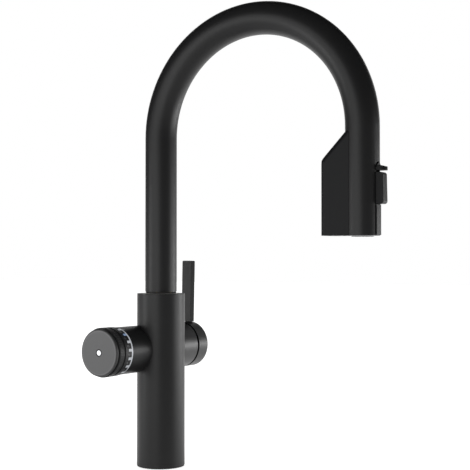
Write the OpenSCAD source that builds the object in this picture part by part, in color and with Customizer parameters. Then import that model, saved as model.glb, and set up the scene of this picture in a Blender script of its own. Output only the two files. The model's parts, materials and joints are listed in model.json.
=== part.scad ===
// Swan-neck kitchen tap for boiling, filtered, hot and cold water.
// Origin: centre of the column's foot on the worktop. +Z up, spout towards -Y,
// mixer lever towards +X, measuring dial towards -X. Millimetres.

/* [Spout] */
// Column axis to the axis of the spout's outlet leg
spout_reach = 222.3; // [180:1:260]
// Worktop to the top of the arch
overall_h = 458.7; // [400:1:520]
// Straight length of the outlet leg below the arch
leg_len = 100.75; // [98:0.25:130]
// Turn of the spout from straight ahead, at rest
spout_turn = 5; // [-10:1:10]
// Outside diameter of the spout tube
spout_d = 32; // [31:0.5:34]
// Wall of the spout tube
spout_wall = 1.6; // [1.2:0.1:1.6]

/* [Column] */
// Outside diameter of the column
column_d = 48.4; // [47.5:0.5:56]
// Height of the column's top face
column_h = 174; // [168:1:200]
// Wall of the column tube
column_wall = 2.7; // [2:0.1:3]
// Shadow gap between column and spout
swivel_gap = 1.7; // [1:0.1:3]
// Seal under the column
gasket_t = 1; // [0.6:0.1:2]

/* [Mixer lever] */
// Height of the lever and dial axis
control_h = 118; // [112:0.5:126]
// Set-back of the lever and dial axis behind the column axis
control_back = 15.7; // [14:0.1:18]
// Diameter of the lever boss
boss_d = 47.2; // [45:0.2:48]
// Column axis to the end of the fixed lever boss
boss_end = 52; // [51:0.2:54]
// Width of the open groove between boss and lever cap
lever_groove = 2.7; // [2.4:0.1:3.4]
// Column axis to the outer face of the lever cap
cap_end = 70; // [69:0.2:72]
// Width of the lever blade
blade_w = 11.9; // [8:0.1:14]
// Thickness of the lever blade
blade_t = 6.3; // [5:0.1:7]
// Height of the blade's top above the worktop
blade_top_h = 206.7; // [180:1:225]
// Outward lean of the blade
blade_lean = 1.6; // [0:0.1:4]
// Outward swing of the lever that opens the water
lever_swing = 18; // [12:1:18]

/* [Measuring dial] */
// Diameter of the dial arm
arm_d = 47; // [45:0.2:48]
// Column axis to the end of the fixed dial arm
arm_end = 52.7; // [51:0.1:60]
// Width of the light ring
light_w = 2.2; // [1.5:0.1:3]
// Width of the graduated ring
scale_w = 8.8; // [7:0.1:10]
// Width of the shadow groove between graduated ring and grip
dial_groove = 2.4; // [2:0.1:5]
// Width of the knurled grip ring
grip_w = 6; // [5.2:0.1:8]
// Diameter of the knurled grip ring
grip_d = 48.4; // [47.6:0.1:50]
// Thickness of the push face in front of the grip ring
face_t = 2.6; // [2.4:0.1:4]
// Travel of the push face
face_travel = 1; // [0.6:0.1:1.2]
// Diameter of the lamp in the push face
lamp_d = 5; // [3:0.1:7]
// Ribs around the grip ring
grip_ribs = 60; // [40:1:72]

/* [Hot outlet] */
// Leg axis to the inner face of the hot outlet's housing
housing_reach = 37.3; // [34:0.1:44]
// Width of the housing across its flat sides
housing_w = 28.5; // [26:0.1:30]
// Radius of the housing's long edges
housing_edge_r = 6; // [3:0.5:8]
// Length of the inner face, up to its virtual corner with the sloping top
housing_len = 70; // [60:0.5:74]
// Angle between the sloping top and the vertical
housing_slope = 43.6; // [34:1:46]
// Radius between inner face and sloping top
housing_bend_r = 24.5; // [12:0.5:26]
// Outside diameter of the hot water tube
hot_tube_d = 7; // [6:0.1:7]

/* [Spray head] */
// Width of the slot in the outlet leg
slot_w = 12; // [11:0.1:13]
// Length of the slot, from the leg's end to its round top
slot_len = 67.7; // [66:0.1:69]
// Width of the control strip in the slot
strip_w = 9.8; // [8.6:0.1:10.2]
// Leg axis to the flat front of the strip
strip_front = 16.3; // [15.8:0.1:17.5]
// Leg axis to the front of the button
button_front = 22.3; // [20:0.1:24]
// Height of the rocker button
button_len = 29; // [24:0.1:30]
// Height of the gap between button and ledge
button_gap = 1.7; // [1.4:0.1:3.4]
// Leg axis to the tip of the thumb ledge
ledge_front = 24.4; // [22:0.1:26]
// Thickness of the thumb ledge
ledge_t = 5; // [3:0.1:5.4]
// Outside diameter of the pull-out hose
hose_d = 12; // [10:0.1:12]
// Swing of the rocker button each way
rocker_swing = 5; // [3:0.5:6]
// Tilt of the rocker button at rest, lower end outward
rocker_rest = 1.3; // [0:0.1:2]

/* [Clearances] */
// Radial clearance of a turning or sliding fit
fit = 0.06; // [0.04:0.01:0.08]
// Clearance between parts that are fixed together
seat = 0.1; // [0.05:0.01:0.15]
// Clearance between loose parts
slack = 0.4; // [0.3:0.05:0.5]

/* [Hidden] */
$fn = 96;
eps = 0.01;

// Spout
spout_r = spout_d / 2;
spout_in_r = spout_r - spout_wall;
arch_r = spout_reach / 2;
arch_h = overall_h - arch_r - spout_r;
neck_h = column_h + swivel_gap;
leg_y = -spout_reach;
outlet_h = arch_h - leg_len;
slot_top_h = outlet_h + slot_len;

// Hose and hot tube lie side by side in the spout, as distances outward from its centreline
hose_r = hose_d / 2;
hose_out = 3;
hot_r = hot_tube_d / 2;
journal_wall = 1.95;
journal_r = spout_in_r - fit;
journal_in_r = journal_r - journal_wall;
hot_in = journal_in_r - slack - hot_r;
tube_wall = 1;
hose_wall = 2.5;

// Column and swivel
column_r = column_d / 2;
column_in_r = column_r - column_wall;
bush_len = 20;
bush_r = journal_r + 3;
bush_bottom = column_h - bush_len;
collar_bottom = bush_bottom - 6;
journal_bottom = bush_bottom - 4;
journal_grip = 20;
journal_top = neck_h + journal_grip;
washer_r = spout_r - 0.7;
clip_t = 1.2;
groove_depth = 0.9;
oring_d = groove_depth + fit - 0.06;
stop_r = 2;
stop_h = bush_bottom + 6;
oring_pitch = 4;
oring_low = stop_h + 4.5;
swivel_range = 70;
foot_h = 15;
tail_h = foot_h + gasket_t + 2;
shank_r = 15.7;

// Valve body: passages for hose and hot tube, threaded ports that stay inside the foot
// ring's bore, and drillings from the ports to the cartridge
valve_r = column_in_r - 0.2;
valve_bottom = 84;
valve_rise = 24;
valve_top = control_h + valve_rise;
hose_way_r = hose_r + slack;
hot_way_r = hot_r + slack;
port_r = 3.46;
port_len = 12;
port_way_r = 2.4;
cold_port = [10.9, 5.1];
hot_port = [10.4, -6];
mixed_port = [-10.4, -6];
cold_h = control_h - 5.5;
hot_h = control_h + 4;
mixed_h = control_h + 12;
mixed_y = 13;
hot_end = [boss_end - 25, 3];
cable_way = [-10.9, 5.1];
cable_way_r = 2.4;

// Mixer lever, as distances from the column axis along +X
boss_r = boss_d / 2;
boss_in_r = boss_r - 2.5;
cup_r = 18.8;
cup_in_r = 17.6;
cup_depth = 26;
cup_back = boss_end - cup_depth;
cup_wall = 2;
cup_end = boss_end - 4.2;
cartridge_r = cup_in_r - seat;
cartridge_neck_r = 14;
cartridge_shoulder = boss_end - 6.2;
cartridge_end = boss_end - 3.2;
carrier_r = 12;
carrier_depth = 22;
carrier_back = boss_end - carrier_depth;
pivot_in = 15;
pivot_x = boss_end - pivot_in;
pivot_r = 1.5;
stem_w = 7;
stem_back = pivot_x - 5;
stem_end = cap_end - 3;
cap_start = boss_end + lever_groove;
cap_cup_r = norm([cap_start - pivot_x, boss_r]);
dome_r = norm([boss_end - pivot_x, boss_r]);
dome_in_r = dome_r - 1.6;
dome_hole_r = 14.7;
hub_r = 6.1;
hub_len = 10;
edge_r = 0.8;
blade_foot_h = control_h + boss_r + 0.15;
tenon_r = 2.4;
tenon_len = 8;
screw_r = 2;
screw_x = cap_end - 6.5;
screw_len = hub_r - stem_w / 2 - 0.25;
blade_inset = 1.8;
blade_x = cap_end - blade_t / 2 - blade_inset;

// Measuring dial, as distances from the column axis along -X
arm_r = arm_d / 2;
light_start = arm_end;
scale_start = light_start + light_w + 0.25;
groove_start = scale_start + scale_w;
grip_start = groove_start + dial_groove;
grip_end = grip_start + grip_w;
grip_r = grip_d / 2;
scale_r = grip_r - 0.1;
groove_in = 0.9;
face_r = grip_r - 1.1;
face_start = grip_end + face_travel + 0.3;
face_end = face_start + face_t;
arm_in_r = arm_r - 2.2;
arm_floor = column_r + 3.8;
dial_journal_r = 14;
dial_journal_in_r = 10.5;
drum_r = 17.9;
drum_in_r = 16.4;
dial_bush_len = 9;
dial_bush_start = arm_end - dial_bush_len;
dial_journal_start = dial_bush_start - 3.3;
board_start = arm_floor + 0.2;
board_t = 1.6;
encoder_end = dial_journal_start - 0.5;
web_in = 8;
web_start = dial_journal_start + web_in;
web_t = 3;
switch_t = 1.6;
cable_hole_r = 3;
index_angle = 22;
mark_step = 20;
mark_turn = -4;
mark_w = 2.8;
mark_len = 4.3;

// Hot outlet
housing_wall = 1.8;
housing_corner_h = outlet_h + housing_len;
housing_face_y = leg_y + housing_reach;
slope_len = 64;
bend_step = 0.03;
floor_t = 2.5;
nozzle_r = 6;
nozzle_len = 14;
hot_joint = 7.6;
hot_drop_y = housing_face_y - 11.8;
hot_shift = hot_drop_y - (leg_y + hot_in);
hot_slant = hot_shift * sqrt(2);
hot_bend_rise = 21.5;
hot_bend_top = slot_top_h + hot_bend_rise;
hot_kink_h = hot_bend_top - 5.8;
hot_bead_r = hot_r + 0.25;

// Spray head
head_r = spout_in_r - 0.55;
head_in_r = head_r - 2.65;
head_bottom = outlet_h + 0.4;
head_top = slot_top_h + 1;
strip_gap = (slot_w - strip_w) / 2;
strip_top = slot_top_h - strip_gap;
ledge_top = strip_top - 2.3;
ledge_bottom = ledge_top - ledge_t;
ledge_slope = 14;
button_top = ledge_bottom - button_gap;
button_bottom = button_top - button_len;
button_mid = (button_top + button_bottom) / 2;
diverter_up = 8;
diverter_h = button_mid + diverter_up;
pocket_floor = head_in_r + 1.15;
button_back = pocket_floor + 0.3 + button_len / 2 * sin(rocker_swing + rocker_rest);
pin_y = button_back + 1.44;
pin_r = 1;
lug_w = 3.2;
button_edge_r = 2.6;
pin_len = strip_w - 1.8;
spray_t = 6;
dock_start = head_top + 0.4;
dock_t = 2.4;
dock_in_r = 11.2;
nut_bottom = head_top + eps;
nut_len = 12;
nut_r = 8;
nut_y = leg_y - hose_out;
hose_end = nut_bottom + nut_len;

// A solid of revolution's axis turned from +Z to +X or -X at the control height
module lever_axis() translate([0, control_back, control_h]) rotate([0, 90, 0]) children();
module dial_axis() translate([0, control_back, control_h]) rotate([0, -90, 0]) children();
module at_spout() rotate(spout_turn) children();
module at_leg(h = 0) at_spout() translate([0, leg_y, h]) children();

// Tube or ring from height a to height b
module ring(outer, inner, a, b) {
    translate([0, 0, a]) rotate_extrude() translate([inner, 0]) square([outer - inner, b - a]);
}

// Disc from height a to height b whose top edge is rounded
module round_disc(r, a, b, edge) {
    translate([0, 0, a]) rotate_extrude() {
        square([r - edge, b - a]);
        square([r, b - a - edge]);
        translate([r - edge, b - a - edge]) intersection() {
            circle(edge);
            square(edge);
        }
    }
}

// Ring from height a to height b with both outer edges chamfered
module chamfer_ring(outer, inner, a, b, c) {
    translate([0, 0, a]) rotate_extrude()
        polygon([[inner, 0], [outer - c, 0], [outer, c], [outer, b - a - c],
            [outer - c, b - a], [inner, b - a]]);
}

// Neck, arch and leg swept with a round section, out = distance outward from the centreline
module spout_sweep(r, out, bottom, leg_end) {
    translate([0, out, bottom]) cylinder(r = r, h = arch_h - bottom);
    translate([0, -arch_r, arch_h]) rotate([90, 0, 90])
        rotate_extrude(angle = 180) translate([arch_r + out, 0]) circle(r);
    translate([0, leg_y - out, leg_end]) cylinder(r = r, h = arch_h - leg_end);
}

// ---------- column and what is fixed in it ----------
module column() {
    color("#2b2b2d") difference() {
        translate([0, 0, gasket_t]) cylinder(r = column_r, h = column_h - gasket_t);
        translate([0, 0, -1]) cylinder(r = column_in_r, h = collar_bottom + 1);
        translate([0, 0, collar_bottom - 1]) cylinder(r = bush_r + seat, h = 40);
        water_ways(port_way_r + 0.6);
        dial_axis() cylinder(r = cable_hole_r, h = column_d);
        translate([0, 0, stop_h]) rotate([-90, 0, 0]) cylinder(r = stop_r + fit, h = column_d);
    }
}

// Drillings that run across from the valve body's ports to the cartridge
module water_ways(r) {
    hot_run = hot_end - hot_port;
    translate([cold_port[0], cold_port[1], cold_h]) rotate([0, 90, 0])
        cylinder(r = r, h = cup_back + cup_wall - cold_port[0]);
    translate([hot_port[0], hot_port[1], hot_h]) rotate(atan2(hot_run[1], hot_run[0]))
        rotate([0, 90, 0]) cylinder(r = r, h = norm(hot_run) + 1);
    translate([mixed_port[0], mixed_y, mixed_h]) rotate([0, 90, 0])
        cylinder(r = r, h = cup_back + cup_wall - mixed_port[0]);
}

module foot_ring() {
    color("#b08d57") translate([0, 0, gasket_t]) difference() {
        cylinder(r = column_in_r - seat, h = foot_h);
        translate([0, 0, -1]) cylinder(r = shank_r, h = foot_h + 2);
        translate([0, 0, foot_h - 1.5]) cylinder(r1 = shank_r, r2 = shank_r + 1.6, h = 1.6);
    }
}

module foot_gasket() {
    color("#151515") ring(column_r - 0.3, shank_r + 1.4, 0, gasket_t);
}

module valve_body() {
    color("#b5a15a") difference() {
        translate([0, 0, valve_bottom]) cylinder(r = valve_r, h = valve_top - valve_bottom);
        at_spout() translate([0, hose_out, 0]) cylinder(r = hose_way_r, h = column_h);
        at_spout() translate([0, -hot_in, 0]) cylinder(r = hot_way_r, h = column_h);
        for (p = [[cold_port, cold_h], [hot_port, hot_h], [mixed_port, mixed_h]])
            translate([p[0][0], p[0][1], 0]) {
                cylinder(r = port_r, h = valve_bottom + port_len);
                cylinder(r = port_way_r, h = p[1]);
            }
        water_ways(port_way_r);
        translate([mixed_port[0], mixed_port[1], mixed_h]) rotate([-90, 0, 0])
            cylinder(r = port_way_r, h = mixed_y - mixed_port[1]);
        translate([cable_way[0], cable_way[1], 0]) cylinder(r = cable_way_r, h = control_h);
        translate([cable_way[0], cable_way[1], control_h]) rotate([-90, 0, 0])
            cylinder(r = cable_way_r, h = control_back - cable_way[1]);
        dial_axis() translate([0, 0, -cable_way[0]]) cylinder(r = cable_hole_r, h = column_d);
    }
}

module cartridge_cup() {
    color("#c2ae62") difference() {
        lever_axis() difference() {
            translate([0, 0, cup_back]) cylinder(r = cup_r, h = cup_end - cup_back);
            translate([0, 0, cup_back + cup_wall]) cylinder(r = cup_in_r, h = cup_end);
        }
        water_ways(port_way_r);
    }
}

module cartridge() {
    color("#d9d9d4") lever_axis() difference() {
        union() {
            ring(cartridge_r, eps, cup_back + cup_wall + seat, cartridge_shoulder);
            ring(cartridge_neck_r, eps, cartridge_shoulder - 1, cartridge_end);
        }
        translate([0, 0, carrier_back - 0.3]) cylinder(r = carrier_r + fit, h = boss_end);
    }
}

module cartridge_nut() {
    color("#b08d57") lever_axis() difference() {
        ring(boss_in_r - seat, cartridge_neck_r + seat, cup_end + 0.3, boss_end - 0.4);
        for (a = [0:60:300]) rotate(a) translate([boss_in_r - 3, 0, boss_end - 2.4])
            cylinder(r = 1, h = 4);
    }
}

// Cross body behind the column: lever boss, dial arm, and the saddle that fits the column
module cross_housing() {
    color("#2b2b2d") difference() {
        union() {
            lever_axis() cylinder(r = boss_r, h = boss_end);
            dial_axis() cylinder(r = arm_r, h = arm_end);
        }
        cylinder(r = column_r + seat, h = column_h);
        lever_axis() {
            translate([0, 0, cup_back]) cylinder(r = cup_r + seat, h = boss_end);
            translate([0, 0, cup_end]) cylinder(r = boss_in_r, h = boss_end);
        }
        dial_axis() {
            translate([0, 0, arm_floor]) cylinder(r = arm_in_r, h = arm_end);
            cylinder(r = cable_hole_r, h = arm_end);
        }
        water_ways(port_way_r);
        dial_index(0.4);
    }
}

// Spherical cover that the lever cap swings over
module lever_dome() {
    color("#161617") lever_axis() difference() {
        union() {
            intersection() {
                translate([0, 0, pivot_x]) sphere(dome_r);
                translate([0, 0, boss_end + seat]) cylinder(r = boss_r, h = dome_r);
            }
            ring(boss_in_r - seat, cartridge_neck_r + 2, boss_end - 0.3, boss_end + 0.5);
        }
        intersection() {
            translate([0, 0, pivot_x]) sphere(dome_in_r);
            translate([0, 0, boss_end + 1.5]) cylinder(r = boss_r, h = dome_r);
        }
        translate([0, 0, boss_end - 2]) cylinder(r = dome_hole_r, h = 30);
    }
}

// Index line cut in the top of the arm, read against the graduated ring
module dial_index(depth) {
    dial_axis() rotate(-index_angle) translate([arm_r - depth, -0.35, arm_end - 5])
        cube([2, 0.7, 4.4]);
}

module light_ring() {
    color("white") dial_axis() ring(arm_r, arm_in_r - 3, light_start + eps, light_start + light_w);
}

module dial_bush() {
    color("#e8e4d8") dial_axis() {
        ring(arm_in_r - seat, dial_journal_r + fit, dial_bush_start, light_start);
        ring(arm_in_r - 3 - seat, dial_journal_r + fit, light_start, light_start + light_w);
    }
}

module encoder_body() {
    color("#3a6b4a") dial_axis() difference() {
        translate([0, 0, board_start + board_t]) cylinder(r = dial_journal_in_r - 1.5,
            h = encoder_end - board_start - board_t);
        translate([0, 0, board_start + board_t + 2]) cylinder(r = 3 + fit, h = 40);
    }
}

module control_board() {
    color("#1f5a34") dial_axis() difference() {
        translate([0, 0, board_start]) cylinder(r = arm_in_r - seat, h = board_t);
        for (a = [45, 165, 285]) rotate(a) translate([arm_in_r - 4, 0, board_start - 1])
            cylinder(r = 1.6, h = board_t + 2);
    }
}

// ---------- swivel ----------
module swivel_bush() {
    color("#e8e4d8") difference() {
        ring(bush_r, journal_r + fit, bush_bottom, column_h);
        translate([0, 0, stop_h]) rotate([-90, 0, 0]) cylinder(r = stop_r + fit, h = column_d);
    }
}

module swivel_washer() {
    color("#101010") ring(washer_r, journal_r + fit, column_h + eps, neck_h - 0.1);
}

// Screw whose tip runs in a sector of the journal and limits the swing of the spout
module swivel_stop() {
    color("#8a8a8a") translate([0, 0, stop_h]) rotate([-90, 0, 0]) difference() {
        translate([0, 0, journal_r - groove_depth]) cylinder(r = stop_r,
            h = column_r - journal_r + groove_depth - 0.6);
        translate([0, 0, column_r - 3]) cylinder(r = 1.1, h = 4, $fn = 6);
    }
}

module swivel_journal() {
    color("#c2ae62") at_spout() difference() {
        ring(journal_r, journal_in_r, journal_bottom, journal_top);
        for (h = [oring_low, oring_low + oring_pitch])
            ring(journal_r + 1, journal_r - groove_depth, h, h + oring_d + 0.2);
        ring(journal_r + 1, journal_r - groove_depth, bush_bottom - 2, bush_bottom - 2 + clip_t);
        translate([0, 0, stop_h]) rotate(90 - swivel_range) rotate_extrude(angle = 2 * swivel_range)
            translate([journal_r - groove_depth - 0.3, -stop_r - fit]) square([3, 2 * (stop_r + fit)]);
        translate([0, 0, stop_h]) for (a = [-swivel_range, swivel_range]) rotate(a)
            rotate([-90, 0, 0]) translate([0, 0, journal_r - groove_depth - 0.3])
                cylinder(r = stop_r + fit, h = 5);
    }
}

module swivel_orings() {
    color("#151515") for (h = [oring_low, oring_low + oring_pitch])
        translate([0, 0, h + 0.1 + oring_d / 2]) rotate_extrude()
            translate([journal_r - groove_depth + 0.03 + oring_d / 2, 0]) circle(oring_d / 2);
}

module swivel_clip() {
    color("#8a8a8a") at_spout() rotate(-60) translate([0, 0, bush_bottom - 2 + 0.05])
        rotate_extrude(angle = 300) translate([journal_r - groove_depth + 0.05, 0])
            square([2.6, clip_t - 0.1]);
}

// ---------- spout ----------
module spout_tube() {
    color("#2b2b2d") at_spout() difference() {
        spout_sweep(spout_r, 0, neck_h, outlet_h);
        spout_sweep(spout_in_r, 0, neck_h - 1, outlet_h - 1);
        head_slot();
        hot_wall_hole();
    }
}

// Slot in the front of the leg, with a full-round top, for the head's control strip
module head_slot() {
    translate([0, leg_y, slot_top_h - slot_w / 2]) rotate([90, 0, 0])
        cylinder(r = slot_w / 2, h = spout_d);
    translate([-slot_w / 2, leg_y - spout_d, outlet_h - 1])
        cube([slot_w, spout_d, slot_top_h - slot_w / 2 - outlet_h + 1]);
}

// Slanting hole where the hot pipe leaves the leg for its housing
module hot_wall_hole() {
    hot_slant_line() cylinder(r = hot_r + slack, h = hot_slant);
}

// U-shaped section of the housing: closed round-edged end at x = 0, open at x = -depth
module housing_section(depth, inset) {
    w = housing_w / 2 - inset;
    e = housing_edge_r - inset;
    translate([-depth, -w]) square([depth - inset - e, 2 * w]);
    translate([-depth, -w + e]) square([depth - inset, 2 * (w - e)]);
    for (s = [-1, 1]) translate([-inset - e, s * (w - e)]) circle(e);
}

// What the round bend between inner face and sloping top takes off their corner
module housing_bend(inset) {
    r = housing_bend_r - inset + bend_step;
    half = [cos(housing_slope / 2), sin(housing_slope / 2)];
    translate([-housing_bend_r, 0, housing_corner_h - housing_bend_r * tan(housing_slope / 2)])
        rotate([90, 0, 0]) linear_extrude(2 * housing_w, center = true) difference() {
            polygon(2 * r * [[0, 0], [1, 0], half / half[0], [cos(housing_slope), sin(housing_slope)]]);
            circle(r);
        }
}

// Upright prism and leaning prism, intersected, with their corner rounded
module housing_form(inset, bottom) {
    translate([0, housing_face_y, 0]) rotate(90) difference() {
        intersection() {
            translate([0, 0, bottom]) linear_extrude(spout_reach)
                housing_section(housing_reach, inset);
            translate([0, 0, housing_corner_h]) rotate([0, -housing_slope, 0])
                translate([0, 0, -slope_len]) linear_extrude(2 * slope_len)
                    housing_section(2 * slope_len, inset - bend_step);
        }
        housing_bend(inset);
    }
}

module outlet_housing() {
    color("#2b2b2d") at_spout() difference() {
        housing_form(0, outlet_h);
        housing_form(housing_wall, outlet_h - 1);
        spout_sweep(spout_r + 0.03, 0, neck_h, outlet_h - 1);
        translate([-spout_r, leg_y - spout_d, outlet_h - 1]) cube([spout_d, spout_d, spout_reach]);
    }
}

module outlet_floor() {
    color("#222224") at_spout() difference() {
        translate([0, housing_face_y, outlet_h + 0.6]) rotate(90) linear_extrude(floor_t)
            housing_section(housing_reach, housing_wall + seat);
        translate([0, leg_y, outlet_h]) cylinder(r = spout_r + seat, h = 10);
        translate([-spout_r, leg_y - spout_d, outlet_h]) cube([spout_d, spout_d, 10]);
        translate([0, hot_drop_y, outlet_h]) cylinder(r = nozzle_r + seat, h = 10);
    }
}

module hot_nozzle() {
    color("#9a9a9c") at_spout() translate([0, hot_drop_y, outlet_h + 0.2]) difference() {
        union() {
            cylinder(r = nozzle_r, h = nozzle_len);
            translate([0, 0, floor_t + 0.5]) cylinder(r = nozzle_r + 1.2, h = 3);
        }
        translate([0, 0, -1]) cylinder(r = nozzle_r - 1.2, h = 4);
        translate([0, 0, nozzle_len - 8]) cylinder(r = hot_r + seat, h = 10);
        for (a = [0:60:300]) rotate(a) translate([2.6, 0, 0]) cylinder(r = 0.7, h = nozzle_len - 5);
    }
}

// Hot water tube in the neck, arch and leg
module hot_tube() {
    color("#f0ede4") at_spout() {
        translate([0, -hot_in, neck_h]) cylinder(r = hot_r, h = arch_h - neck_h);
        translate([0, -arch_r, arch_h]) rotate([90, 0, 90])
            rotate_extrude(angle = 180) translate([arch_r - hot_in, 0]) circle(hot_r);
        translate([0, leg_y + hot_in, hot_bend_top]) cylinder(r = hot_r, h = arch_h - hot_bend_top);
    }
}

// Pipe with two beaded bends that carries the hot tube through the leg's wall to the nozzle
module hot_elbow() {
    color("#c9c9cb") at_spout() {
        translate([0, leg_y + hot_in, hot_kink_h]) cylinder(r = hot_r, h = hot_bend_top - hot_kink_h);
        hot_slant_line() cylinder(r = hot_r, h = hot_slant);
        translate([0, hot_drop_y, outlet_h + nozzle_len - hot_joint])
            cylinder(r = hot_r, h = hot_kink_h - hot_shift - outlet_h - nozzle_len + hot_joint);
        hot_slant_line() sphere(hot_bead_r);
        hot_slant_line() translate([0, 0, hot_slant]) sphere(hot_bead_r);
    }
}

// From the upper bend of the hot pipe along its slanting run
module hot_slant_line() {
    translate([0, leg_y + hot_in, hot_kink_h]) rotate([225, 0, 0]) children();
}

module hot_tube_lower() {
    color("#f0ede4") at_spout() translate([0, -hot_in, 0])
        ring(hot_r, hot_r - tube_wall, tail_h, neck_h - 0.1);
}

module hose_upper() {
    color("#6e6e70") at_spout() {
        translate([0, hose_out, neck_h]) cylinder(r = hose_r, h = arch_h - neck_h);
        translate([0, -arch_r, arch_h]) rotate([90, 0, 90])
            rotate_extrude(angle = 180) translate([arch_r + hose_out, 0]) circle(hose_r);
    }
}

module hose_lower() {
    color("#6e6e70") at_spout() translate([0, hose_out, 0])
        ring(hose_r, hose_r - hose_wall, tail_h, neck_h - 0.1);
}

module hose_drop() {
    color("#6e6e70") at_spout() translate([0, nut_y, hose_end]) cylinder(r = hose_r, h = arch_h - hose_end);
}

module dock_ring() {
    color("#8a8a8a") at_leg() difference() {
        ring(spout_in_r - fit, dock_in_r, dock_start, dock_start + dock_t);
        translate([-4, head_r - 4, dock_start - 1]) cube([8, 8, dock_t + 2]);
    }
}

// ---------- spray head ----------
module strip_outline(w) {
    translate([-w / 2, head_bottom]) square([w, strip_top - w / 2 - head_bottom]);
    translate([0, strip_top - w / 2]) circle(w / 2);
}

module head_shell() {
    color("#29292b") at_leg() difference() {
        union() {
            translate([0, 0, head_bottom]) cylinder(r = head_r, h = head_top - head_bottom);
            rotate([90, 0, 0]) linear_extrude(strip_front) strip_outline(strip_w);
        }
        translate([0, 0, head_bottom - 1]) cylinder(r = head_in_r, h = head_top - head_bottom - 4);
        translate([0, -hose_out, head_top - 6]) cylinder(r = hose_r - 1, h = 10);
        translate([0, 0, head_top - 2.2]) difference() {
            cylinder(r = head_r - 1, h = 5);
            cylinder(r = head_r - 3.6, h = 5);
        }
        difference() {
            translate([-strip_w, -button_front, button_bottom - slack])
                cube([2 * strip_w, button_front - pocket_floor, ledge_bottom - button_bottom + slack]);
            translate([-lug_w / 2, -pin_y - 2, button_mid - 3]) cube([lug_w, pin_y, 6]);
        }
        pin_line() cylinder(r = pin_r + 0.02, h = 2 * strip_w, center = true);
        translate([0, -pocket_floor + 3, diverter_h]) rotate([90, 0, 0]) cylinder(r = 1.6, h = 8);
    }
}

module head_core() {
    color("#d9d9d4") at_leg() difference() {
        translate([0, 0, head_bottom + spray_t + 0.6])
            cylinder(r = head_in_r - seat, h = head_top - 5.4 - head_bottom - spray_t - 0.6);
        translate([0, -hose_out, head_bottom]) cylinder(r = hose_r - 1.6, h = head_top);
        translate([0, -head_in_r + 4, diverter_h]) rotate([90, 0, 0]) cylinder(r = 2.2, h = 8);
    }
}

module head_magnet() {
    color("#5a5a5c") at_leg() ring(head_r - 1 - seat, head_r - 3.6 + seat, head_top - 2.1, head_top);
}

// Ledge for the thumb: a half-round plate whose top falls towards the tip
module thumb_ledge() {
    color("#29292b") at_leg(ledge_bottom) difference() {
        union() {
            translate([0, -ledge_front + strip_w / 2, 0]) cylinder(r = strip_w / 2, h = ledge_t);
            translate([-strip_w / 2, -ledge_front + strip_w / 2, 0])
                cube([strip_w, strip_w, ledge_t]);
        }
        translate([-strip_w, -strip_front - eps, -1]) cube([2 * strip_w, strip_w, ledge_t + 2]);
        translate([-strip_w, -strip_front - 1, ledge_t]) rotate([ledge_slope, 0, 0])
            translate([0, -2 * strip_w, 0]) cube([2 * strip_w, 2 * strip_w, strip_w]);
    }
}

// Spray face with a ring of jets around the open centre of the aerator
module spray_face() {
    color("#a9a9ab") at_leg(head_bottom - 1) difference() {
        round_flip(head_in_r - seat, spray_t + 1, 0.8);
        translate([0, 0, -1]) cylinder(r = 4.6, h = 3);
        for (n = [[7, 14], [9.4, 20]]) for (k = [0:n[1] - 1])
            rotate(k * 360 / n[1]) translate([n[0], 0, -1]) cylinder(r = 0.45, h = 3);
    }
}

module round_flip(r, h, edge) {
    translate([0, 0, h]) rotate([180, 0, 0]) round_disc(r, 0, h, edge);
}

module hose_nut() {
    color("#8a8a8a") at_spout() translate([0, nut_y, nut_bottom]) {
        cylinder(r = nut_r, h = 5, $fn = 6);
        translate([0, 0, 5]) cylinder(r = hose_r + 0.9, h = nut_len - 5);
        translate([0, 0, -5.2]) cylinder(r = hose_r - 1 - seat, h = 5.3);
    }
}

module diverter() {
    color("#e8e4d8") at_leg() translate([0, -pocket_floor + 3, diverter_h]) rotate([90, 0, 0]) {
        cylinder(r = 1.5, h = 3.2);
        translate([0, 0, -1.4]) cylinder(r = 2.1, h = 1.4);
    }
}

module rocker_pin() {
    color("#b9b9bb") at_leg() pin_line() cylinder(r = pin_r, h = pin_len, center = true);
}

// Axis of the rocker's pin, at the middle of the strip
module pin_line() {
    translate([0, -pin_y, button_mid]) rotate([0, 90, 0]) children();
}

// Rocker with two round-cornered ends, hollowed around its pin lug and snapped on from the front
module rocker_button() {
    color("#29292b") at_leg() translate([0, -pin_y, button_mid]) rotate([-rocker_rest, 0, 0])
        translate([0, pin_y, -button_mid]) difference() {
            translate([-strip_w / 2, 0, 0]) rotate([90, 0, 90]) linear_extrude(strip_w) rocker_outline();
            translate([-lug_w / 2 - 0.3, -pin_y - 3, button_mid - 5]) cube([lug_w + 0.6, 20, 10]);
            pin_line() cylinder(r = pin_r + fit, h = pin_len + 0.2, center = true);
            translate([-pin_len / 2 - 0.1, -pin_y, button_mid - 0.8 * pin_r])
                cube([pin_len + 0.2, pin_y, 1.6 * pin_r]);
        }
}

module rocker_outline() {
    e = button_edge_r;
    f = button_front;
    translate([-f + e, button_bottom]) square([f - e - button_back, button_len]);
    translate([-f, button_bottom + e]) square([f - button_back, button_len - 2 * e]);
    for (z = [button_bottom + e, button_top - e]) translate([-f + e, z]) circle(e);
}

// ---------- lever ----------
module cartridge_carrier() {
    swing_gap = stem_w / 2 / cos(lever_swing) + (cartridge_end - pivot_x + 1) * tan(lever_swing) + slack;
    color("#9fb3c8") lever_axis() difference() {
        ring(carrier_r, eps, carrier_back, cartridge_end + 1);
        translate([-swing_gap, -stem_w / 2 - seat, stem_back - 1])
            cube([2 * swing_gap, stem_w + 2 * seat, spout_reach]);
        cross_pin(pivot_r + 0.02, 2 * carrier_r + 2);
    }
}

// Cylinder across the lever axis at the pivot
module cross_pin(r, len) {
    translate([0, -len / 2, pivot_x]) rotate([-90, 0, 0]) cylinder(r = r, h = len);
}

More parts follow.
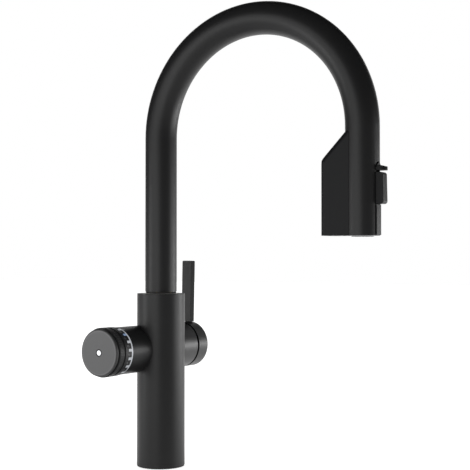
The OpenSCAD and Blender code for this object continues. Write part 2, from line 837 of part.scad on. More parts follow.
module carrier_pin() {
    color("#b9b9bb") lever_axis() cross_pin(pivot_r, 2 * carrier_r - 1);
}

module lever_stem() {
    color("#c2ae62") lever_axis() difference() {
        translate([-stem_w / 2, -stem_w / 2, stem_back]) cube([stem_w, stem_w, stem_end - stem_back]);
        cross_pin(pivot_r + fit, 2 * stem_w);
    }
}

// Cap with a spherical mouth over the dome, a square socket for the stem, and its blade seat
module lever_cap() {
    w = stem_w + 2 * seat;
    color("#2b2b2d") difference() {
        lever_axis() difference() {
            union() {
                difference() {
                    round_disc(boss_r, cap_start, cap_end, edge_r);
                    translate([0, 0, pivot_x]) sphere(cap_cup_r);
                }
                translate([0, 0, cap_end - 1 - hub_len]) cylinder(r = hub_r, h = hub_len);
            }
            translate([-w / 2, -w / 2, cap_end - 2 - hub_len])
                cube([w, w, stem_end + 0.3 - cap_end + 2 + hub_len]);
            screw_line() cylinder(r = screw_r + fit, h = boss_r);
        }
        blade_place() translate([0, 0, -tenon_len - 0.5]) cylinder(r = tenon_r + seat, h = tenon_len + 2);
    }
}

// Line of the grub screw that clamps the cap on the stem, from the underside
module screw_line() {
    translate([stem_w / 2 + 0.15, 0, screw_x]) rotate([0, 90, 0]) children();
}

module blade_place() {
    translate([blade_x, control_back, blade_foot_h]) rotate([0, blade_lean, 0]) children();
}

module lever_blade() {
    len = blade_top_h - blade_foot_h;
    e = 1.2;
    color("#2b2b2d") blade_place() {
        translate([-blade_t / 2, 0, 0]) rotate([90, 0, 90]) linear_extrude(blade_t) {
            translate([-blade_w / 2, 0]) square([blade_w, len - e]);
            translate([-blade_w / 2 + e, 0]) square([blade_w - 2 * e, len]);
            for (s = [-1, 1]) translate([s * (blade_w / 2 - e), len - e]) circle(e);
        }
        translate([0, 0, -tenon_len]) cylinder(r = tenon_r, h = tenon_len + 1);
    }
}

module lever_screw() {
    color("#8a8a8a") lever_axis() screw_line() difference() {
        cylinder(r = screw_r, h = screw_len);
        translate([0, 0, screw_len - 1.4]) cylinder(r = 1.2, h = 4, $fn = 6);
    }
}

// ---------- measuring dial ----------
module dial_hub() {
    color("#1c1c1e") dial_axis() difference() {
        union() {
            ring(dial_journal_r, dial_journal_in_r, dial_journal_start, scale_start + 1);
            ring(drum_r, dial_journal_in_r, scale_start, scale_start + 3);
            ring(drum_r, drum_in_r, scale_start + 2, grip_end);
            ring(grip_r - groove_in, drum_in_r, groove_start, grip_start);
            ring(dial_journal_in_r + 0.5, 3 + seat, web_start, web_start + web_t);
        }
        ring(dial_journal_r + 1, dial_journal_r - groove_depth, dial_bush_start - 1.6,
            dial_bush_start - 0.3);
    }
}

// Ring with sunk graduations that start at the light ring
module scale_ring() {
    mark_depth = 0.35;
    color("#242427") dial_axis() difference() {
        ring(scale_r, drum_r + 0.05, scale_start, groove_start - eps);
        for (a = [mark_turn:mark_step:mark_turn + 359]) rotate(a)
            translate([scale_r - mark_depth, -mark_w / 2, scale_start - 1]) cube([2, mark_w, mark_len + 1]);
    }
}

module dial_grip() {
    color("#2f2f31") dial_axis() difference() {
        chamfer_ring(grip_r, drum_r + 0.05, grip_start + eps, grip_end, 0.5);
        for (k = [0:grip_ribs - 1]) rotate(k * 360 / grip_ribs)
            translate([grip_r + 0.35, 0, grip_start - 1]) cylinder(r = 0.6, h = grip_w + 2, $fn = 4);
    }
}

module encoder_shaft() {
    color("#b9b9bb") dial_axis() translate([0, 0, board_start + board_t + 2.4])
        cylinder(r = 3, h = web_start + web_t - board_start - board_t - 2.6);
}

module dial_clip() {
    color("#8a8a8a") dial_axis() rotate(30) translate([0, 0, dial_bush_start - 1.55])
        rotate_extrude(angle = 300) translate([dial_journal_r - groove_depth + 0.05, 0]) square([2.6, 1.2]);
}

module push_switch() {
    color("#555558") dial_axis() ring(6, 3.4, web_start + web_t + eps, web_start + web_t + switch_t);
}

// Push face: rounded disc on a skirt that slides in the drum, with a plunger to the switch
module push_face() {
    color("#39393b") dial_axis() difference() {
        union() {
            round_disc(face_r, face_start, face_end, 1.2);
            ring(drum_in_r - fit, drum_in_r - 1.4, scale_start + 3.3 + face_travel, face_start + 1);
            ring(6, lamp_d / 2, web_start + web_t + switch_t + face_travel + 0.25, face_start + 1);
        }
        translate([0, 0, face_start - 1]) cylinder(r = lamp_d / 2, h = 10);
    }
}

module face_lamp() {
    color("white") dial_axis() translate([0, 0, face_start - 2])
        cylinder(r = lamp_d / 2 - 0.05, h = face_end - face_start + 2);
}

column();
foot_ring();
foot_gasket();
valve_body();
cartridge_cup();
cartridge();
cartridge_nut();
cross_housing();
lever_dome();
light_ring();
dial_bush();
encoder_body();
control_board();
swivel_bush();
swivel_washer();
swivel_stop();
hose_lower();
hot_tube_lower();
spout_tube();
swivel_journal();
swivel_orings();
swivel_clip();
outlet_housing();
outlet_floor();
hot_nozzle();
hot_tube();
hot_elbow();
hose_upper();
dock_ring();
head_shell();
head_core();
head_magnet();
thumb_ledge();
spray_face();
hose_nut();
diverter();
rocker_pin();
hose_drop();
rocker_button();
cartridge_carrier();
carrier_pin();
lever_stem();
lever_cap();
lever_blade();
lever_screw();
dial_hub();
scale_ring();
dial_grip();
encoder_shaft();
dial_clip();
push_switch();
push_face();
face_lamp();
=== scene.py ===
"""Boiling water tap: camera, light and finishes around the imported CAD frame. Metres, row frame."""
import json
import math

import bpy
from mathutils import Matrix, Vector


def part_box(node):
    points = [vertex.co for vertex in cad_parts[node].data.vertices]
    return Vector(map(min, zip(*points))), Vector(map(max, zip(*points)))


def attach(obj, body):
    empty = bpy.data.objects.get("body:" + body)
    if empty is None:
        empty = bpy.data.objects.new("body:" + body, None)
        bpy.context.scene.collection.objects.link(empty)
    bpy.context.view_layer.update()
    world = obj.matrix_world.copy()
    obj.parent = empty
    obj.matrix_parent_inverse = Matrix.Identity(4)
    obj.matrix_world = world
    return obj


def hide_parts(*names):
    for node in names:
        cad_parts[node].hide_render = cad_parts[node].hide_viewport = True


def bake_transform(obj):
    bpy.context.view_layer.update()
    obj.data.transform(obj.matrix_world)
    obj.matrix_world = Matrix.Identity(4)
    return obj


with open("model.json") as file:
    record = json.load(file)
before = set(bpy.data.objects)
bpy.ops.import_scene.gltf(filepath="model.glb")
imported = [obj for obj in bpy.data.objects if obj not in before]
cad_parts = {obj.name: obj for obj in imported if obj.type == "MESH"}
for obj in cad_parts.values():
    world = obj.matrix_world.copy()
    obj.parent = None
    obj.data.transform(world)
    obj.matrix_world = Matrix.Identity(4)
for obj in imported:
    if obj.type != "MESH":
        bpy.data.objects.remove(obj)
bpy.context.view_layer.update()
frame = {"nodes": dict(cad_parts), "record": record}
nodes = frame["nodes"]
MM = 0.001

# ---------------------------------------------------------------- node helpers
NOISE_LOW, NOISE_HIGH = 0.3, 0.7      # the span in which nearly all of a noise's values lie
BROAD = 14                            # features per metre of the slow change of tone
BEVEL_SAMPLES = 6


def new_material(name):
    """A new material, its node tree and its Principled BSDF."""
    material = bpy.data.materials.new(name)
    material.use_nodes = True
    nt = material.node_tree
    return material, nt, nt.nodes["Principled BSDF"]


def link(nt, a, b):
    nt.links.new(a, b)


def node(nt, kind, **inputs):
    """A new node with inputs set by name, an underscore standing for a space."""
    n = nt.nodes.new(kind)
    for key, value in inputs.items():
        n.inputs[key.replace("_", " ")].default_value = value
    return n


def maths(nt, operation, a, b=None):
    """One maths operation on a socket and, where it takes two, a socket or a number."""
    n = nt.nodes.new("ShaderNodeMath")
    n.operation = operation
    link(nt, a, n.inputs[0])
    if isinstance(b, float):
        n.inputs[1].default_value = b
    elif b is not None:
        link(nt, b, n.inputs[1])
    return n.outputs["Value"]


def vector_maths(nt, operation, a, b=None, output="Vector"):
    """One vector operation on a socket and, where it takes two, a fixed vector."""
    n = nt.nodes.new("ShaderNodeVectorMath")
    n.operation = operation
    link(nt, a, n.inputs[0])
    if b is not None:
        n.inputs[1].default_value = b
    return n.outputs[output]


def map_range(nt, value, start, end, low, high):
    """Goes from low to high as the value goes from start to end, and stays there outside."""
    n = node(nt, "ShaderNodeMapRange", From_Min=start, From_Max=end, To_Min=low, To_Max=high)
    link(nt, value, n.inputs["Value"])
    return n.outputs["Result"]


def noise(nt, scale, detail=4.0, rough=0.55, stretch=(1, 1, 1)):
    """Noise in object space, in features per metre, stretched along an axis."""
    tc = nt.nodes.new("ShaderNodeTexCoord")
    mp = node(nt, "ShaderNodeMapping", Scale=stretch)
    n = node(nt, "ShaderNodeTexNoise", Scale=scale, Detail=detail, Roughness=rough)
    link(nt, tc.outputs["Object"], mp.inputs["Vector"])
    link(nt, mp.outputs["Vector"], n.inputs["Vector"])
    return n.outputs["Fac"]


def spread(nt, fac, low, high):
    """Maps noise around 0.5 to the range low to high."""
    return map_range(nt, fac, NOISE_LOW, NOISE_HIGH, low, high)


def two_tone(nt, fac, a, b):
    """Colour a where the factor is 0, colour b where it is 1."""
    r = nt.nodes.new("ShaderNodeMix")
    r.data_type = "RGBA"
    r.inputs["A"].default_value = (*a, 1)
    r.inputs["B"].default_value = (*b, 1)
    link(nt, fac, r.inputs["Factor"])
    return r.outputs["Result"]


def bumps(nt, bsdf, height, depth, edge=None):
    """Bump of the given depth in metres, over an edge rounding of the given radius."""
    b = node(nt, "ShaderNodeBump", Strength=1.0, Distance=depth)
    link(nt, height, b.inputs["Height"])
    if edge:
        e = node(nt, "ShaderNodeBevel", Radius=edge)
        e.samples = BEVEL_SAMPLES
        link(nt, e.outputs["Normal"], b.inputs["Normal"])
    link(nt, b.outputs["Normal"], bsdf.inputs["Normal"])


def finish(name, base, rough, metal=0.0, grain=2500, depth=0.000006, vary=0.12, spec=0.5,
           edge=0.0003, stretch=(1, 1, 1), emit=None):
    """A surface whose colour, roughness and height vary with fine and broad noise."""
    material, nt, bsdf = new_material(name)
    fine = noise(nt, grain, 3.0, 0.6, stretch)
    broad = noise(nt, BROAD, 3.0, 0.5)
    dark = tuple(c * (1 - vary) for c in base)
    light = tuple(min(1, c * (1 + vary)) for c in base)
    link(nt, two_tone(nt, spread(nt, broad, 0.2, 0.8), dark, light), bsdf.inputs["Base Color"])
    link(nt, spread(nt, fine, rough * 0.94, min(1, rough * 1.06)), bsdf.inputs["Roughness"])
    bsdf.inputs["Metallic"].default_value = metal
    bsdf.inputs["Specular IOR Level"].default_value = spec
    if emit:
        colour, strength = emit
        bsdf.inputs["Emission Color"].default_value = (*colour, 1)
        bsdf.inputs["Emission Strength"].default_value = strength
    bumps(nt, bsdf, fine, depth, edge)
    return material


def gloss_along(material, axis_source, axis, start, end, low, high, either_way=False):
    """Gloss goes from low to high as one axis of a node's output goes from start to end."""
    nt = material.node_tree
    kind, output = axis_source
    parts = nt.nodes.new("ShaderNodeSeparateXYZ")
    link(nt, nt.nodes.new(kind).outputs[output], parts.inputs["Vector"])
    value = parts.outputs[axis]
    if either_way:
        value = maths(nt, "ABSOLUTE", value)
    link(nt, map_range(nt, value, start, end, low, high),
         nt.nodes["Principled BSDF"].inputs["Specular IOR Level"])


FACE_NORMAL = ("ShaderNodeNewGeometry", "True Normal")
OBJECT_PLACE = ("ShaderNodeTexCoord", "Object")

# ---------------------------------------------------------------- finishes of the CAD solids
PAINT = (0.0085, 0.0085, 0.0088)
PAINT_GRAIN = dict(grain=5200, depth=0.000012)

matt_black = finish("matt_black", PAINT, 0.40, vary=0.06, spec=0.3, **PAINT_GRAIN)
# painted shade: a darker, less glossy copy of the black paint, for the outlet housing and the head's
# parts
moulded_black_painted_shade = finish("moulded_black_painted_shade", (0.0064, 0.0066, 0.0071), 0.44, vary=0.05, spec=0.13,
                       **PAINT_GRAIN)
dark_trim = finish("dark_trim", (0.006, 0.006, 0.0065), 0.5, depth=0.00001, spec=0.3)
dark_plastic = finish("dark_plastic", (0.012, 0.012, 0.0126), 0.45, grain=3000, depth=0.000008,
                      spec=0.28)
white_light = finish("white_light", (0.8, 0.81, 0.83), 0.3, grain=900, depth=0.000002, vary=0.02,
                     emit=((0.92, 0.96, 1.0), 0.35))
ring_light = finish("ring_light", (0.36, 0.375, 0.4), 0.35, grain=900, depth=0.000002, vary=0.05,
                    emit=((0.9, 0.94, 1.0), 0.12))
brass = finish("brass", (0.62, 0.47, 0.21), 0.32, metal=1.0, grain=900, stretch=(1, 1, 12),
               vary=0.08)
steel = finish("steel", (0.56, 0.56, 0.57), 0.3, metal=1.0, grain=1400, stretch=(1, 1, 10),
               vary=0.06)
rubber = finish("rubber", (0.015, 0.015, 0.015), 0.75, grain=4000, depth=0.00002)
pale_plastic = finish("pale_plastic", (0.72, 0.7, 0.64), 0.45, grain=1200)
blue_plastic = finish("blue_plastic", (0.25, 0.36, 0.5), 0.45, grain=1200)
spray_grey = finish("spray_grey", (0.24, 0.24, 0.245), 0.42, grain=2500)
electronics = finish("electronics", (0.02, 0.12, 0.05), 0.4, grain=1500)

# Painted light and shade: the cap's finish is a lighter copy of the black paint, the blade's and the
# moulded parts' darker copies, the cross body's lighter on the lever's side.
# Their gloss, and the moulded black's gloss and colour, were set until their brightness matched the
# photo's. The photo doesn't show separate paints: they are probably the column's.
# painted light: lighter and glossier than the black paint
cap_black_painted_light = finish("cap_black_painted_light", (0.0106, 0.0106, 0.011), 0.42, grain=4200, depth=0.00001,
                   vary=0.06, spec=0.6)
# painted shade: a darker, less glossy copy of the paint, with less gloss still on the faces turned
# along Y
blade_black_painted_shade = finish("blade_black_painted_shade", (0.0071, 0.0071, 0.0074), 0.36, grain=4200, depth=0.00001,
                     vary=0.06, spec=0.22)
gloss_along(blade_black_painted_shade, FACE_NORMAL, "Y", 0.6, 0.95, 0.22, 0.03, either_way=True)
# painted light and shade: the paint's colour, with gloss low on the dial arm's side and high on the
# lever's side, a painted highlight there
body_black_painted_light_and_shade = finish("body_black_painted_light_and_shade", PAINT, 0.40, vary=0.06, spec=0.3, **PAINT_GRAIN)
gloss_along(body_black_painted_light_and_shade, OBJECT_PLACE, "X", 0.0, 0.03, 0.24, 0.62)


def disc_face():
    """Satin disc with a fine grain, a painted highlight line inside its rim, painted shade on its
    rounded rim and a dark ring at the lamp.
    """
    # share of the disc's radius, shade; the lighter stop at 0.905 is the painted highlight, the fall
    # from 0.93 to the edge the painted shade
    stops = [(0.0, 0.004), (0.15, 0.004), (0.175, 0.08), (0.885, 0.08), (0.905, 0.125),
             (0.93, 0.08), (0.945, 0.042), (1.0, 0.021)]
    material, nt, bsdf = new_material("disc_face")
    lo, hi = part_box("push_face")
    middle = Vector([(a + b) / 2 for a, b in zip(lo, hi)])
    local = nodes["push_face"].matrix_world.inverted() @ middle
    tc = nt.nodes.new("ShaderNodeTexCoord")
    shift = vector_maths(nt, "SUBTRACT", tc.outputs["Object"], local)
    flat = vector_maths(nt, "MULTIPLY", shift, (0, 1, 1))
    length = vector_maths(nt, "LENGTH", flat, output="Value")
    ramp = nt.nodes.new("ShaderNodeValToRGB")
    ramp.color_ramp.interpolation = "LINEAR"
    while len(ramp.color_ramp.elements) < len(stops):
        ramp.color_ramp.elements.new(0.5)
    for e, (at, shade) in zip(ramp.color_ramp.elements, stops):
        e.position = at
        e.color = (shade, shade, shade * 1.02, 1)
    link(nt, maths(nt, "DIVIDE", length, (hi[2] - lo[2]) / 2), ramp.inputs["Fac"])
    grain = noise(nt, 2600, 3.0, 0.6)
    tint = nt.nodes.new("ShaderNodeMix")
    tint.data_type = "RGBA"
    tint.blend_type = "MULTIPLY"
    tint.inputs["Factor"].default_value = 1.0
    link(nt, ramp.outputs["Color"], tint.inputs["A"])
    link(nt, two_tone(nt, spread(nt, grain, 0, 1), (0.9, 0.9, 0.9), (1, 1, 1)), tint.inputs["B"])
    link(nt, tint.outputs["Result"], bsdf.inputs["Base Color"])
    link(nt, spread(nt, grain, 0.42, 0.5), bsdf.inputs["Roughness"])
    bsdf.inputs["Specular IOR Level"].default_value = 0.4
    bumps(nt, bsdf, grain, 0.000006, 0.0004)
    return material


def braid():
    """Woven sleeve: two families of crossing strands from the object's own coordinates."""
    material, nt, bsdf = new_material("braided_hose")
    tc = nt.nodes.new("ShaderNodeTexCoord")
    heights = []
    for turn in (0.7, -0.7):
        mp = node(nt, "ShaderNodeMapping", Rotation=(turn, turn, turn))
        w = node(nt, "ShaderNodeTexWave", Scale=420.0, Distortion=0.3)
        link(nt, tc.outputs["Object"], mp.inputs["Vector"])
        link(nt, mp.outputs["Vector"], w.inputs["Vector"])
        heights.append(w.outputs["Fac"])
    height = maths(nt, "MAXIMUM", *heights)
    link(nt, two_tone(nt, height, (0.05, 0.05, 0.052), (0.22, 0.22, 0.23)),
         bsdf.inputs["Base Color"])
    bsdf.inputs["Roughness"].default_value = 0.5
    bumps(nt, bsdf, height, 0.0003)
    return material


braided_hose = braid()

by_slot = {
    "matt_black": matt_black, "dark_trim": dark_trim, "face_metal": disc_face(),
    "dark_plastic": dark_plastic, "white_light": white_light, "brass": brass, "steel": steel,
    "rubber": rubber, "pale_plastic": pale_plastic, "blue_plastic": blue_plastic,
    "braided_hose": braided_hose, "spray_grey": spray_grey, "electronics": electronics,
}
own_finish = {
    "cross_housing": body_black_painted_light_and_shade, "lever_cap": cap_black_painted_light, "lever_blade": blade_black_painted_shade,
    "light_ring": ring_light, "outlet_housing": moulded_black_painted_shade, "head_shell": moulded_black_painted_shade,
    "rocker_button": moulded_black_painted_shade, "thumb_ledge": moulded_black_painted_shade,
}
for part in frame["record"]["subparts"]:
    mesh = nodes[part["node"]].data
    mesh.materials.clear()
    mesh.materials.append(own_finish.get(part["node"]) or by_slot[part["material_slot"]])


# ---------------------------------------------------------------- building pieces
def mesh_piece(name, verts, faces, material, slot, body=None, smooth=False):
    """A piece of the scene's own, attached to its body where one is given. The slot is not used."""
    mesh = bpy.data.meshes.new(name)
    mesh.from_pydata([tuple(v) for v in verts], [], faces)
    mesh.materials.append(material)
    for f in mesh.polygons:
        f.use_smooth = smooth
    mesh.validate()
    mesh.update()
    o = bpy.data.objects.new(name, mesh)
    bpy.context.scene.collection.objects.link(o)
    if body:
        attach(o, body)
    return o


def lathe(verts, faces, cx, cy, profile, steps):
    """Closed ring of revolution about a vertical axis from an (r, z) loop."""
    n, m = len(verts), len(profile)
    for k in range(steps):
        a = 2 * math.pi * k / steps
        verts += [(cx + r * math.cos(a), cy + r * math.sin(a), z) for r, z in profile]
    for k in range(steps):
        for q in range(m):
            i, j = n + k * m, n + (k + 1) % steps * m
            faces.append((i + q, j + q, j + (q + 1) % m, i + (q + 1) % m))


def arc_of(length, radius):
    """Degrees that a length takes up on a circle."""
    return math.degrees(length / radius)


# ---------------------------------------------------------------- marks and digits of the dial
# the first three follow the grooves in part.scad, in degrees as dial_point counts them
MARK_STEP = 20
MARK_TURN = -4
INDEX_ANGLE = -22
COLD_MARK = 316                       # the mark that is blue
MARK_FLOOR, MARK_TOP = 0.34 * MM, 0.04 * MM          # below the ring's surface
MARK_W, MARK_FROM, MARK_TO = 2.7 * MM, 0.02 * MM, 4.22 * MM
DIGIT_W, DIGIT_H, STROKE = 1.5 * MM, 2.6 * MM, 0.36 * MM
PRINT_ROOT, PRINT = 0.05 * MM, 0.03 * MM             # below and above the ring's surface
LINE_FLOOR, LINE_TOP = 0.38 * MM, 0.05 * MM          # below the arm's surface
LINE_W, LINE_FROM, LINE_TO = 0.66 * MM, 4.98 * MM, 0.64 * MM

print_white = finish("print_white", (0.44, 0.455, 0.485), 0.5, grain=3000, depth=0.000002,
                     vary=0.04)
print_blue = finish("print_blue", (0.21, 0.3, 0.47), 0.5, grain=3000, depth=0.000002, vary=0.04)
print_grey = finish("print_grey", (0.12, 0.12, 0.125), 0.5, grain=3000, depth=0.000002, vary=0.04)

scale_lo, scale_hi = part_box("scale_ring")
DIAL_Y = (scale_lo[1] + scale_hi[1]) / 2
DIAL_Z = (scale_lo[2] + scale_hi[2]) / 2
SCALE_R = (scale_hi[2] - scale_lo[2]) / 2
SCALE_START = -scale_hi[0]
DIGIT_OUT = SCALE_START + 3.2 * MM

# strokes of a digit, each as its place across, its place up and whether it lies flat
STROKES = {
    "top": (0.5, 1.0, True), "middle": (0.5, 0.5, True), "foot": (0.5, 0.0, True),
    "left_up": (0.0, 0.75, False), "right_up": (1.0, 0.75, False),
    "left_low": (0.0, 0.25, False), "right_low": (1.0, 0.25, False),
}
DIGITS = {
    1: "right_up right_low", 2: "top right_up middle left_low foot",
    3: "top right_up middle right_low foot", 4: "left_up right_up middle right_low",
    5: "top left_up middle right_low foot", 6: "top left_up middle left_low right_low foot",
    7: "top right_up right_low", 8: "top left_up right_up middle left_low right_low foot",
    9: "top left_up right_up middle right_low foot",
}


def dial_point(radius, degrees, out):
    """Point around the dial's axis: degrees from the top towards +Y, out from the column's axis."""
    a = math.radians(degrees)
    return (-out, DIAL_Y + radius * math.sin(a), DIAL_Z + radius * math.cos(a))


def patch(verts, faces, inner, outer, mid, arc, out_a, out_b, steps=4):
    """Closed curved plate on the dial: arc degrees wide about mid, from out_a to out_b."""
    n = len(verts)
    for k in range(steps + 1):
        a = mid - arc / 2 + arc * k / steps
        verts += [dial_point(inner, a, out_a), dial_point(outer, a, out_a),
                  dial_point(outer, a, out_b), dial_point(inner, a, out_b)]
    for k in range(steps):
        i, j = n + 4 * k, n + 4 * k + 4
        for q in range(4):
            faces.append((i + q, i + (q + 1) % 4, j + (q + 1) % 4, j + q))
    faces.append((n, n + 3, n + 2, n + 1))
    m = n + 4 * steps
    faces.append((m, m + 1, m + 2, m + 3))


white_marks, blue_mark, digits, line = ([], []), ([], []), ([], []), ([], [])
for k in range(360 // MARK_STEP):
    mid = MARK_TURN + MARK_STEP * k
    patch(*(blue_mark if mid == COLD_MARK else white_marks),
          SCALE_R - MARK_FLOOR, SCALE_R - MARK_TOP, mid, arc_of(MARK_W, SCALE_R),
          SCALE_START + MARK_FROM, SCALE_START + MARK_TO)
    for stroke in DIGITS[k % 9 + 1].split():
        u, v, flat = STROKES[stroke]
        across = arc_of((u - 0.5) * DIGIT_W, SCALE_R)
        arc = arc_of(DIGIT_W if flat else STROKE, SCALE_R)
        rise = STROKE if flat else DIGIT_H / 2
        centre = DIGIT_OUT + v * DIGIT_H
        patch(*digits, SCALE_R - PRINT_ROOT, SCALE_R + PRINT,
              mid + MARK_STEP / 2 - across, arc, centre - rise / 2, centre + rise / 2, 2)
mesh_piece("scale_marks", *white_marks, print_white, "white_light", "dial")
mesh_piece("cold_mark", *blue_mark, print_blue, "white_light", "dial")
mesh_piece("scale_digits", *digits, print_grey, "white_light", "dial")

arm_lo, arm_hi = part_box("light_ring")
ARM_R, ARM_END = (arm_hi[2] - arm_lo[2]) / 2, -arm_hi[0]
patch(*line, ARM_R - LINE_FLOOR, ARM_R - LINE_TOP, INDEX_ANGLE, arc_of(LINE_W, ARM_R),
      ARM_END - LINE_FROM, ARM_END - LINE_TO)
mesh_piece("index_line", *line, print_white, "white_light", "base")

# ---------------------------------------------------------------- spray face
soft_grey = finish("soft_grey", (0.2, 0.2, 0.205), 0.6, grain=2500, depth=0.000006)
spray_lo, spray_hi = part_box("spray_face")
SPRAY_X, SPRAY_Y = (spray_lo[0] + spray_hi[0]) / 2, (spray_lo[1] + spray_hi[1]) / 2
SPRAY_Z = spray_lo[2]
SPOUT_TURN = math.atan2(SPRAY_X, -SPRAY_Y)

# soft nozzles around the jets: rows as radius and count, and one nozzle's section as (r, z)
NOZZLE_ROWS = ((7 * MM, 14), (9.4 * MM, 20))
NOZZLE = [(0.42 * MM, 0.1 * MM), (0.42 * MM, -0.35 * MM), (0.55 * MM, -0.42 * MM),
          (0.72 * MM, -0.3 * MM), (0.95 * MM, 0.1 * MM)]
NOZZLE_STEPS = 14
verts, faces = [], []
for radius, count in NOZZLE_ROWS:
    for k in range(count):
        a = 2 * math.pi * k / count + SPOUT_TURN
        lathe(verts, faces, SPRAY_X + radius * math.cos(a), SPRAY_Y + radius * math.sin(a),
              [(r, SPRAY_Z + z) for r, z in NOZZLE], NOZZLE_STEPS)
mesh_piece("spray_nozzles", verts, faces, soft_grey, "rubber", "head", smooth=True)

# crossing wires in the aerator, as square bars
MESH_R, MESH_PITCH, WIRE = 4.5 * MM, 1.1 * MM, 0.16 * MM
MESH_UP = 1.2 * MM
rows = int(MESH_R / MESH_PITCH)
verts, faces = [], []
for k in range(-rows, rows + 1):
    across = k * MESH_PITCH
    half = math.sqrt(MESH_R ** 2 - across ** 2)
    for turn in (0, 1):
        n = len(verts)
        level = SPRAY_Z + MESH_UP + turn * WIRE
        for along in (-half, half):
            for du, dv in ((-1, -1), (1, -1), (1, 1), (-1, 1)):
                u, v = (along, across + du * WIRE) if turn else (across + du * WIRE, along)
                verts.append((SPRAY_X + u, SPRAY_Y + v, level + dv * WIRE))
        faces += [(n + q, n + (q + 1) % 4, n + 4 + (q + 1) % 4, n + 4 + q) for q in range(4)]
        faces += [(n, n + 3, n + 2, n + 1), (n + 4, n + 5, n + 6, n + 7)]
mesh_piece("aerator_mesh", verts, faces, steel, "steel", "head")

# ---------------------------------------------------------------- hose
# sleeved hose in the outlet leg, which on the real tap is paid out by the spout as the head is
# pulled; here a tube with no body, in place of hose_drop, which is hidden
hose_lo, hose_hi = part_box("hose_drop")
HOSE_X, HOSE_Y = (hose_lo[0] + hose_hi[0]) / 2, (hose_lo[1] + hose_hi[1]) / 2
HOSE_R = (hose_hi[0] - hose_lo[0]) / 2
RINGS, AROUND, STRANDS = 120, 36, 9
SLEEVE_INSET, WEAVE = 0.12 * MM, 0.1 * MM
STRAND_TURN = 0.5                     # radians that a strand goes round from ring to ring
verts, faces = [], []
for k in range(RINGS + 1):
    z = hose_hi[2] + (hose_lo[2] - hose_hi[2]) * k / RINGS
    for q in range(AROUND):
        a = 2 * math.pi * q / AROUND
        weave = math.sin(STRANDS * a + STRAND_TURN * k) * math.sin(STRANDS * a - STRAND_TURN * k)
        r = HOSE_R - SLEEVE_INSET + WEAVE * weave
        verts.append((HOSE_X + r * math.cos(a), HOSE_Y + r * math.sin(a), z))
for k in range(RINGS):
    for q in range(AROUND):
        i, j = k * AROUND, (k + 1) * AROUND
        faces.append((i + q, j + q, j + (q + 1) % AROUND, i + (q + 1) % AROUND))
faces.append(tuple(range(AROUND)))
faces.append(tuple(RINGS * AROUND + q for q in reversed(range(AROUND))))
hose = mesh_piece("hose_sleeve", verts, faces, braided_hose, "braided_hose", smooth=True)
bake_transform(hose)
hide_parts("hose_drop")

# ---------------------------------------------------------------- camera
CAMERA_AZIMUTH = -145                 # degrees from +X, opposite to where the camera looks
camera = bpy.data.objects.new("camera", bpy.data.cameras.new("camera"))
bpy.context.scene.collection.objects.link(camera)
camera.data.lens = 85
camera.data.sensor_width = 36
camera.data.clip_start = 0.01
place = Vector((-0.88255, -0.70990, 0.21367))
right = Vector((0.57358, -0.81915, 0.0)).normalized()
up = Vector((-0.01419, -0.00993, 0.99985)).normalized()
back = right.cross(up).normalized()
up = back.cross(right)
camera.matrix_world = Matrix((
    (right.x, up.x, back.x, place.x),
    (right.y, up.y, back.y, place.y),
    (right.z, up.z, back.z, place.z),
    (0, 0, 0, 1)))
bpy.context.scene.camera = camera
bpy.context.scene.view_settings.view_transform = "Standard"

# ---------------------------------------------------------------- lamps
# each as its azimuth from the camera's own, height, width, length upright and power
LAMPS = [
    (85, 0.14, 0.5, 0.28, 3.0), (111, 0.13, 0.5, 0.26, 3.6), (135, 0.5, 0.5, 1.0, 1.1),
    (-80, 0.16, 0.5, 0.32, 2.9), (-58, 0.42, 0.5, 0.84, 2.0), (-38, 0.4, 0.5, 0.8, 2.7),
    (-18, 0.16, 0.5, 0.32, 1.8),
]
LAMP_DISTANCE = 1.4
AIM = Vector((0, -0.06, 0.23))


def softbox(name, azimuth, height, width, tall, power):
    """Area light at an azimuth in degrees from +X, turned to the tap."""
    data = bpy.data.lights.new(name, "AREA")
    data.shape = "RECTANGLE"
    data.size = width
    data.size_y = tall
    data.energy = power
    o = bpy.data.objects.new(name, data)
    bpy.context.scene.collection.objects.link(o)
    a = math.radians(azimuth)
    o.location = (LAMP_DISTANCE * math.cos(a), LAMP_DISTANCE * math.sin(a), height)
    o.rotation_euler = (AIM - o.location).to_track_quat("-Z", "Y").to_euler()


for k, (turn, height, wide, tall, power) in enumerate(LAMPS):
    softbox("lamp_%d" % k, turn + CAMERA_AZIMUTH, height, wide, tall, power)

# ---------------------------------------------------------------- world and floor
ROOM = 0.76                           # light of the room on matt surfaces
FLOOR_GLOW = 0.6                      # the floor clips at this, which hides the tap's shadow
FAR = (0.82, 0.57, 0.0)               # direction from the camera to the backdrop
WHITE = (1, 1, 1, 1)
FLOOR_HALF, FLOOR_DROP = 6.0, 0.0005


def toward_backdrop(nt, vector, low, high):
    """1 where a direction or floor point lies towards the backdrop, 0 on the camera's side."""
    return map_range(nt, vector_maths(nt, "DOT_PRODUCT", vector, FAR, "Value"), low, high, 0, 1)


def seen_white(nt, path, far):
    """1 for camera rays, and for glossy and transmission rays on the backdrop's side."""
    mirror = maths(nt, "MAXIMUM", path.outputs["Is Glossy Ray"],
                   path.outputs["Is Transmission Ray"])
    return maths(nt, "MAXIMUM", path.outputs["Is Camera Ray"], maths(nt, "MULTIPLY", mirror, far))


world = bpy.data.worlds.new("studio")
bpy.context.scene.world = world
world.use_nodes = True
wt = world.node_tree
wt.nodes.clear()
out = wt.nodes.new("ShaderNodeOutputWorld")
white = node(wt, "ShaderNodeBackground", Color=WHITE, Strength=1.0)
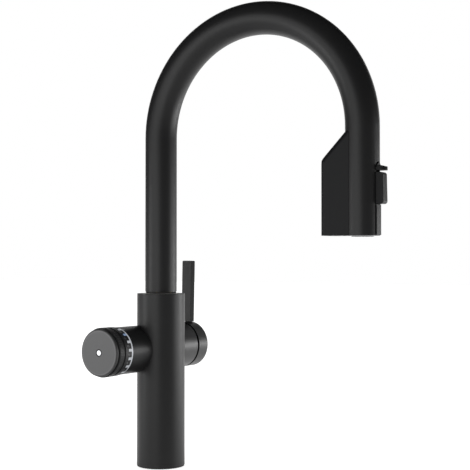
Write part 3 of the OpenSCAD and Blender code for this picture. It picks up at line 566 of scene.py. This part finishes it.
# the room lights matt surfaces; mirror reflections of the camera's side of it stay dark
room = node(wt, "ShaderNodeBackground", Color=WHITE)
coord = wt.nodes.new("ShaderNodeTexCoord")
path = wt.nodes.new("ShaderNodeLightPath")
link(wt, maths(wt, "MULTIPLY", path.outputs["Is Diffuse Ray"], ROOM), room.inputs["Strength"])
mix = wt.nodes.new("ShaderNodeMixShader")
link(wt, seen_white(wt, path, toward_backdrop(wt, coord.outputs["Generated"], 0.75, 0.95)),
     mix.inputs["Fac"])
link(wt, room.outputs["Background"], mix.inputs[1])
link(wt, white.outputs["Background"], mix.inputs[2])
link(wt, mix.outputs["Shader"], out.inputs["Surface"])

corners = [(-1, -1), (1, -1), (1, 1), (-1, 1)]
floor_mesh = bpy.data.meshes.new("floor")
floor_mesh.from_pydata([(FLOOR_HALF * x, FLOOR_HALF * y, 0) for x, y in corners], [],
                       [(0, 1, 2, 3)])
floor = bpy.data.objects.new("floor", floor_mesh)
bpy.context.scene.collection.objects.link(floor)
floor.location.z = -FLOOR_DROP
floor_material, ft, fb = new_material("floor")
fb.inputs["Roughness"].default_value = 0.9
fb.inputs["Specular IOR Level"].default_value = 0.1
link(ft, two_tone(ft, spread(ft, noise(ft, 3, 2), 0, 1), (0.86, 0.86, 0.86), (0.9, 0.9, 0.9)),
     fb.inputs["Base Color"])
coord = ft.nodes.new("ShaderNodeTexCoord")
path = ft.nodes.new("ShaderNodeLightPath")
glow = node(ft, "ShaderNodeEmission", Strength=FLOOR_GLOW)
add = ft.nodes.new("ShaderNodeAddShader")
mix = ft.nodes.new("ShaderNodeMixShader")
link(ft, fb.outputs["BSDF"], add.inputs[0])
link(ft, glow.outputs["Emission"], add.inputs[1])
link(ft, seen_white(ft, path, toward_backdrop(ft, coord.outputs["Object"], -0.2, 0.15)),
     mix.inputs["Fac"])
link(ft, fb.outputs["BSDF"], mix.inputs[1])
link(ft, add.outputs["Shader"], mix.inputs[2])
link(ft, mix.outputs["Shader"], ft.nodes["Material Output"].inputs["Surface"])
floor_mesh.materials.append(floor_material)
